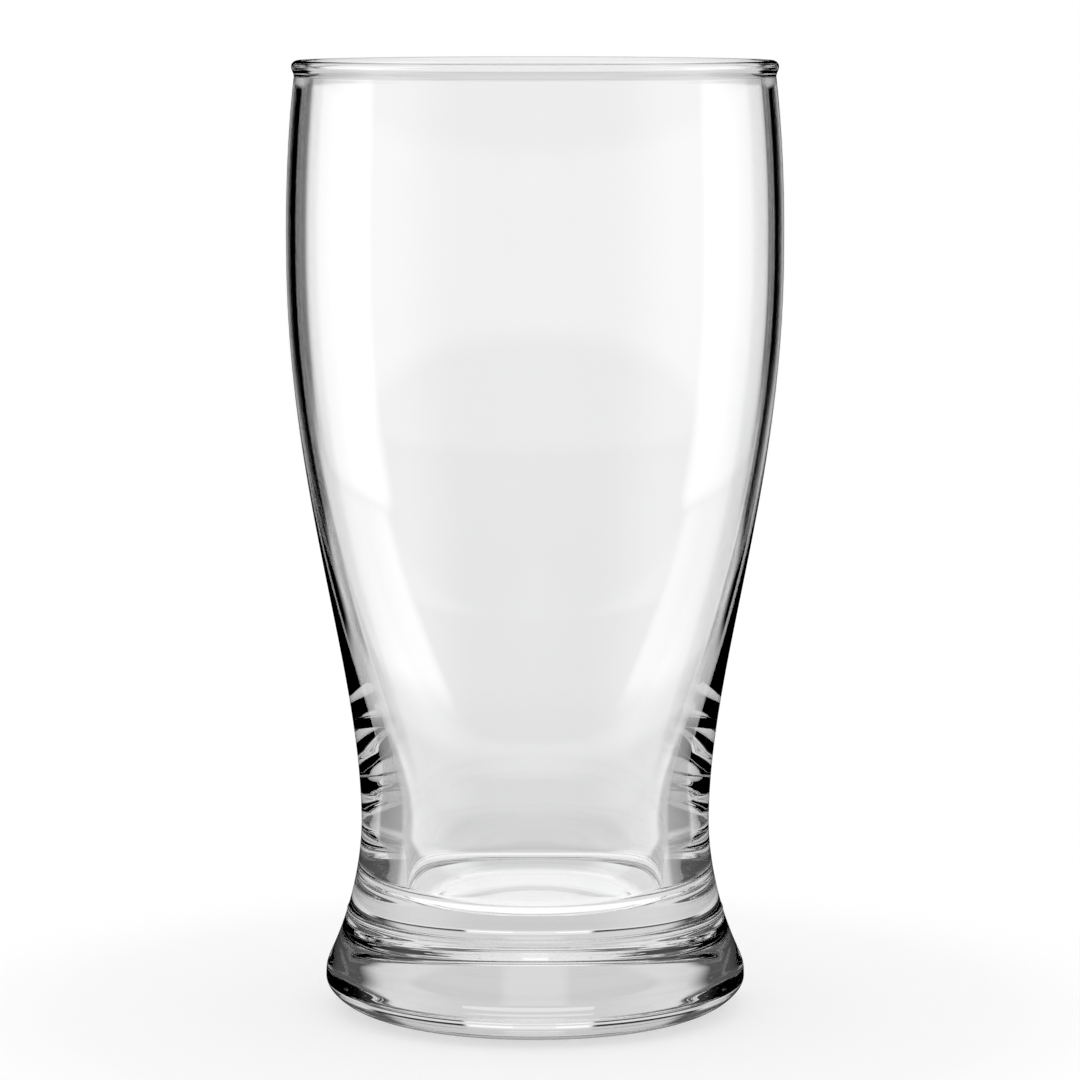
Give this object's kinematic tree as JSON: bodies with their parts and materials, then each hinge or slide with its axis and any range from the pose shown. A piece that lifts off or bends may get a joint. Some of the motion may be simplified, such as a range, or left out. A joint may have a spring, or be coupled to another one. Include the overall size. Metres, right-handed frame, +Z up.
{
  "type": "beer tumbler",
  "caption": "Clear glass beer tumbler: beaded rim, full belly that narrows to a waist, thick lower wall and a heavy flared foot with a hollow underside.",
  "frame": {"origin": "centre of the circle that the foot stands on", "axes": "+Z up along the axis of the glass, towards the rim; X and Y are level and alike, because the glass is round"},
  "size_m": [0.082, 0.082, 0.1577],
  "materials": {
    "clear_glass": "polished"
  },
  "bodies": {
    "root": {"bowl": "clear_glass", "foot": "clear_glass"}
  },
  "joints": []
}
